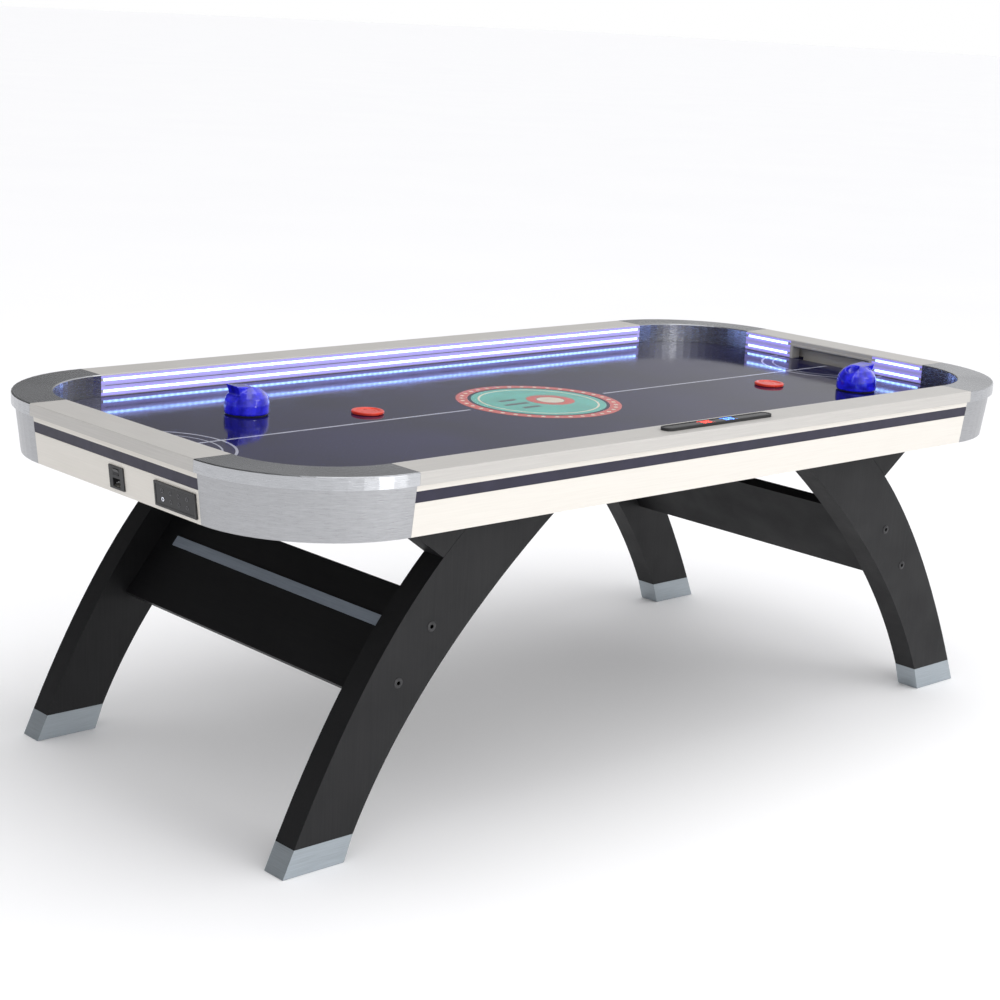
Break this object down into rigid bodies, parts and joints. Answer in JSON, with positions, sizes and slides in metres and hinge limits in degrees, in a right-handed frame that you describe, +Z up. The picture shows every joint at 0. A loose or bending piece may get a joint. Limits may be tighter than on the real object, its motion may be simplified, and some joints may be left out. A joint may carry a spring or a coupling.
{
  "type": "air hockey table",
  "caption": "Free-standing air hockey table with lit rails, rounded metal corners, arched legs, a blower, sliding pushers and pucks.",
  "frame": {"origin": "on the floor under the middle of the table", "axes": "+X along the length away from the control end, +Y across towards the side without the score counter, +Z up"},
  "size_m": [2.34, 1.2, 0.8166],
  "materials": {
    "white_laminate": "satin white laminate",
    "dark_stripe": "charcoal gloss inlay",
    "brushed_aluminium": "brushed",
    "playfield_gloss": "high gloss dark coat with fine air holes",
    "board": "dark painted board",
    "led_light": "lit diffuser",
    "black_laminate": "satin black laminate",
    "black_plastic": "fine texture",
    "gloss_black": "high gloss",
    "motor_steel": "zinc plated",
    "circuit_board": "solder mask",
    "blue_plastic": "translucent gloss",
    "felt": "felt",
    "red_plastic": "satin moulded"
  },
  "bodies": {
    "table": {"rail_right": "white_laminate", "apron_right": "white_laminate", "stripe_right": "dark_stripe", "rail_far": "white_laminate", "apron_far": "white_laminate", "stripe_far": "dark_stripe", "led_strip_far_upper": "led_light", "led_strip_far_lower": "led_light", "rail_left": "white_laminate", "apron_left": "white_laminate", "stripe_left": "dark_stripe", "rail_near": "white_laminate", "apron_near": "white_laminate", "stripe_near": "dark_stripe", "led_strip_near_upper": "led_light", "led_strip_near_lower": "led_light", "corner_cap_far_right": "brushed_aluminium", "corner_panel_far_right": "brushed_aluminium", "corner_cap_far_left": "brushed_aluminium", "corner_panel_far_left": "brushed_aluminium", "corner_cap_near_left": "brushed_aluminium", "corner_panel_near_left": "brushed_aluminium", "corner_cap_near_right": "brushed_aluminium", "corner_panel_near_right": "brushed_aluminium", "playfield": "playfield_gloss", "bottom_board": "board", "goal_box_left": "black_plastic", "goal_box_right": "black_plastic", "blower_housing": "black_plastic", "blower_motor": "motor_steel", "score_bezel": "black_plastic", "score_display": "gloss_black", "control_frame": "black_plastic", "touch_panel": "gloss_black", "power_inlet": "black_plastic", "control_board": "circuit_board", "leg_far_right": "black_laminate", "foot_cap_far_right": "brushed_aluminium", "gusset_far_right": "black_laminate", "leg_far_left": "black_laminate", "foot_cap_far_left": "brushed_aluminium", "gusset_far_left": "black_laminate", "leg_near_left": "black_laminate", "foot_cap_near_left": "brushed_aluminium", "gusset_near_left": "black_laminate", "leg_near_right": "black_laminate", "foot_cap_near_right": "brushed_aluminium", "gusset_near_right": "black_laminate", "cross_panel_left": "black_laminate", "trim_strip_left": "brushed_aluminium", "cross_panel_right": "black_laminate", "trim_strip_right": "brushed_aluminium"},
    "wheel": {"blower_wheel": "black_plastic"},
    "rocker": {"rocker_switch": "gloss_black"},
    "pusher_a": {"pusher_left": "blue_plastic", "pusher_left_pad": "felt"},
    "pusher_b": {"pusher_right": "blue_plastic", "pusher_right_pad": "felt"},
    "puck_a": {"puck_left": "red_plastic"},
    "puck_b": {"puck_right": "red_plastic"}
  },
  "joints": [
    {"name": "wheel_spin", "type": "hinge", "parent": "table", "child": "wheel", "pos_m": [0, 0, 0.6], "axis": [0, 0, 1], "continuous": true},
    {"name": "rocker_tilt", "type": "hinge", "parent": "table", "child": "rocker", "pos_m": [-1.1536, -0.014, 0.7161], "axis": [0, 1, 0], "range_deg": [-7, 7]},
    {"name": "pusher_a_slide", "type": "slide", "parent": "table", "child": "pusher_a", "axis": [1, 0, 0], "range_m": [-0.34, 0.63]},
    {"name": "pusher_b_slide", "type": "slide", "parent": "table", "child": "pusher_b", "axis": [1, 0, 0], "range_m": [-0.79, 0.18]},
    {"name": "puck_a_slide", "type": "slide", "parent": "table", "child": "puck_a", "axis": [1, 0, 0], "range_m": [-0.59, 1.49]},
    {"name": "puck_b_slide", "type": "slide", "parent": "table", "child": "puck_b", "axis": [1, 0, 0], "range_m": [-1.73, 0.35]}
  ]
}
